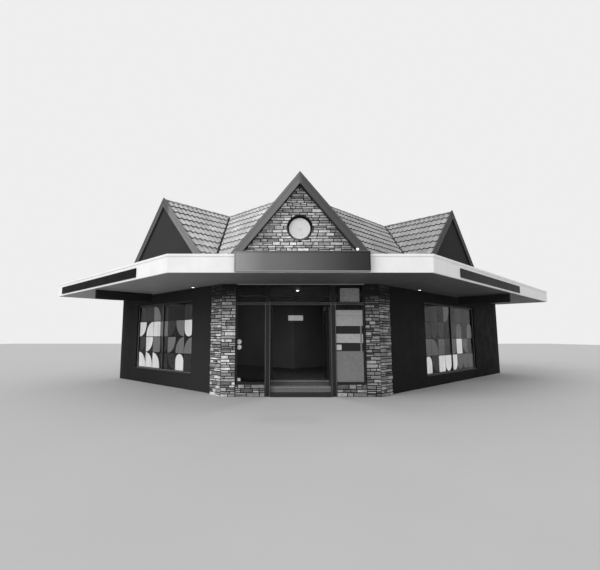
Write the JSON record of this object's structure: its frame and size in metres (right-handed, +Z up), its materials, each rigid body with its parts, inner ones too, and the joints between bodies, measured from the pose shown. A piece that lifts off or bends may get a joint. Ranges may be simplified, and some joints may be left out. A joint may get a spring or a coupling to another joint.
{
  "type": "corner shop building",
  "caption": "One-storey shop on a street corner with stone bay, open entrance, wide canopy and tiled roof with steep street gables.",
  "frame": {"origin": "at ground level under the entrance, in the middle of the corner bay's stone face", "axes": "+X to the right seen from the street, +Y into the building, +Z up"},
  "size_m": [18.7755, 12.6292, 6.0149],
  "materials": {
    "dark_render": "smooth near-black masonry paint",
    "plain_render": "plain dark grey render",
    "stacked_stone": "stacked ledge stone with dark joints",
    "gable_panel": "flat dark grey panels",
    "pale_plaster": "matte plaster",
    "floor_tile": "pale floor tile with worn nosings",
    "black_frame": "black coated aluminium with lighter edges",
    "clear_glass": "clear glass, dark inside",
    "roof_tile": "grey wavy roof tiles",
    "barge_paint": "dark grey painted timber",
    "soffit_paint": "dark grey painted boards",
    "deck_metal": "grey sheet metal",
    "white_fascia": "white painted metal",
    "sign_face": "satin dark grey",
    "board_print": "grey and pale plain bands",
    "lamp_lens": "bright lens"
  },
  "bodies": {
    "building": {"canopy_deck": "deck_metal", "canopy_fascia": "white_fascia", "canopy_soffit": "soffit_paint", "ceiling": "pale_plaster", "corner_barge_boards": "barge_paint", "corner_gable_roof": "roof_tile", "corner_gable_wall": "stacked_stone", "corner_lintel": "dark_render", "downlights": "lamp_lens", "entrance_steps": "floor_tile", "fanlight_glass": "clear_glass", "floor_slab": "floor_tile", "gable_disc": "pale_plaster", "hanging_plate": "sign_face", "left_barge_boards": "barge_paint", "left_end_wall": "plain_render", "left_fascia_panel": "sign_face", "left_front_wall": "dark_render", "left_gable_roof": "roof_tile", "left_gable_wall": "gable_panel", "left_hanging_sign": "sign_face", "left_rear_wall": "plain_render", "left_recess_cheek": "black_frame", "left_roof_rear_slope": "roof_tile", "left_roof_street_slope": "roof_tile", "left_stall_riser": "stacked_stone", "left_stone_pier": "stacked_stone", "left_window_frame": "black_frame", "left_window_glass": "clear_glass", "main_sign": "sign_face", "party_wall": "plain_render", "recess_head": "dark_render", "right_barge_boards": "barge_paint", "right_fascia_panel": "sign_face", "right_front_wall": "dark_render", "right_gable_roof": "roof_tile", "right_gable_wall": "gable_panel", "right_hanging_sign": "sign_face", "right_rear_wall": "plain_render", "right_recess_cheek": "black_frame", "right_roof_rear_slope": "roof_tile", "right_roof_street_slope": "roof_tile", "right_stall_riser": "stacked_stone", "right_stone_pier": "stacked_stone", "right_window_frame": "black_frame", "right_window_glass": "clear_glass", "shopfront_frame": "black_frame", "shopfront_glass": "clear_glass", "sign_lamp": "lamp_lens", "window_board": "board_print"},
    "left_leaf": {"left_door": "black_frame", "left_door_glass": "clear_glass"},
    "right_leaf": {"right_door": "black_frame", "right_door_glass": "clear_glass"}
  },
  "joints": [
    {"name": "right_leaf_hinge", "type": "hinge", "parent": "building", "child": "right_leaf", "pos_m": [0.807, 0.514, 1.4], "axis": [0, 0, 1], "range_deg": [0, 90]},
    {"name": "left_leaf_hinge", "type": "hinge", "parent": "building", "child": "left_leaf", "pos_m": [-0.807, 0.514, 1.4], "axis": [0, 0, -1], "range_deg": [0, 90]}
  ]
}
